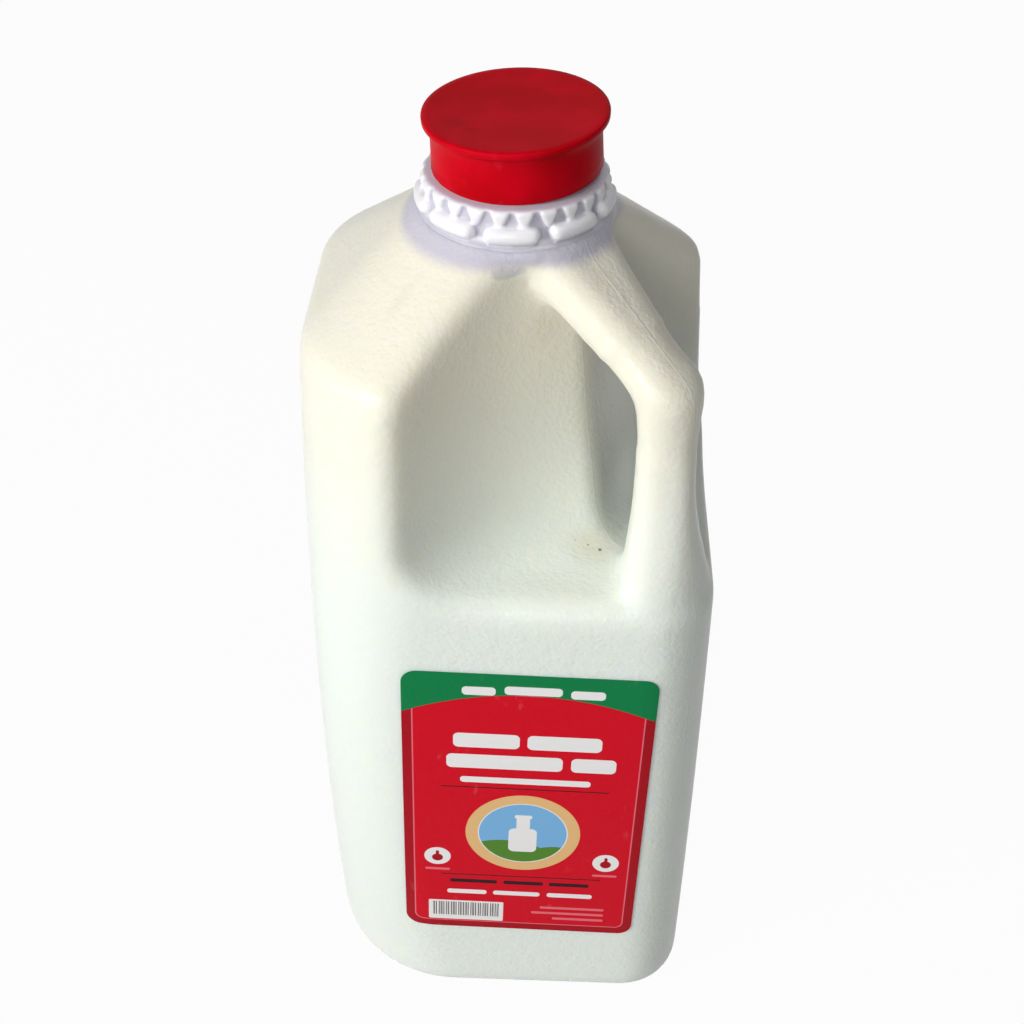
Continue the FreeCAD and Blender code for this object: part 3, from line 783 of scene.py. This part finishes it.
floor_paint, tree, shader, place = new_material("floor_paint")
fine_noise = add_node(tree, "TexNoise", {"Vector": place, "Scale": 40.0, "Detail": 2.0}).outputs[0]
faint = calculate(tree, "MULTIPLY", fine_noise, 0.1)
floor_colour = blend_colours(tree, faint, (0.48, 0.48, 0.48), (0.52, 0.52, 0.52))
tree.links.new(floor_colour, shader["Base Color"])
shader["Roughness"].default_value = 0.9
shader["Specular IOR Level"].default_value = 0.0
glow = add_node(tree, "Emission", {"Color": (1, 1, 1, 1), "Strength": 1.0})
paleness = calculate(tree, "MULTIPLY", seen_directly(tree), 0.965)
paint = tree.nodes["Principled BSDF"].outputs[0]
mixed = add_node(tree, "MixShader", {0: paleness, 1: paint, 2: glow.outputs[0]})
tree.links.new(mixed.outputs[0], tree.nodes["Material Output"].inputs["Surface"])

ground = bmesh.new()
bmesh.ops.create_grid(ground, x_segments=4, y_segments=4, size=3.0)
bmesh.ops.translate(ground, verts=ground.verts, vec=(0, 0, -0.2 * MM))
floor_mesh = mesh_from(ground, "floor")
floor_mesh.materials.append(floor_paint)
put_in_scene("floor", floor_mesh)
print("floor:", len(floor_mesh.polygons), "faces")

# %% The room's own light
AMBIENT = 0.045

world = bpy.data.worlds.new("studio")
bpy.context.scene.world = world
world.use_nodes = True
tree = world.node_tree
strength = add_node(tree, "MapRange", {"Value": seen_directly(tree), "To Min": AMBIENT}).outputs[0]
tree.links.new(strength, tree.nodes["Background"].inputs["Strength"])
tree.nodes["Background"].inputs["Color"].default_value = (1, 1, 1, 1)
print("room light:", AMBIENT, "of white")

# %% Lamps
JUG_MIDDLE = Vector((0, 0, 0.13))


def soft_lamp(name, direction, distance, size, brightness):
    """A square lamp aimed at the jug. Brightness 1 lights a white card facing it to plain white."""
    lamp = bpy.data.lights.new(name, "AREA")
    lamp.size = size
    lamp.energy = brightness * math.pi ** 2 * distance ** 2
    holder = put_in_scene(name, lamp)
    holder.location = JUG_MIDDLE + Vector(direction).normalized() * distance
    holder.rotation_euler = (JUG_MIDDLE - holder.location).to_track_quat("-Z", "Y").to_euler()
    print(name, "energy", round(lamp.energy, 1))


soft_lamp("key", (-0.74, -0.54, 0.42), 1.3, 0.5, 0.78)
soft_lamp("front_fill", (-0.12, -0.90, 0.40), 1.5, 0.5, 0.26)
soft_lamp("top_fill", (0.26, -0.26, 0.93), 1.4, 0.5, 0.15)

# %% [markdown]
# ## Camera
# We look down on the front of the jug from a bit over 40 cm, as when it stands on a kitchen counter.
# Three vectors set the view: where the lens is, which way it looks, and which way is its right.

# %% Camera
LENS_PLACE = Vector((10.41, -320.19, 401.98)) * MM
LENS_RIGHT = Vector((0.99930, 0.03713, 0.00450))
LENS_FORWARD = Vector((-0.02596, 0.77535, -0.63100))

lens = bpy.data.cameras.new("camera")
lens.sensor_width = 36.0
lens.lens = 54.477
camera = put_in_scene("camera", lens)
turn = Matrix((LENS_RIGHT, LENS_RIGHT.cross(LENS_FORWARD), -LENS_FORWARD)).transposed().to_4x4()
camera.matrix_world = Matrix.Translation(LENS_PLACE) @ turn
bpy.context.scene.camera = camera
bpy.context.scene.view_settings.view_transform = "Standard"
print("camera", round((JUG_MIDDLE - LENS_PLACE).length, 3), "metres from the jug's middle")
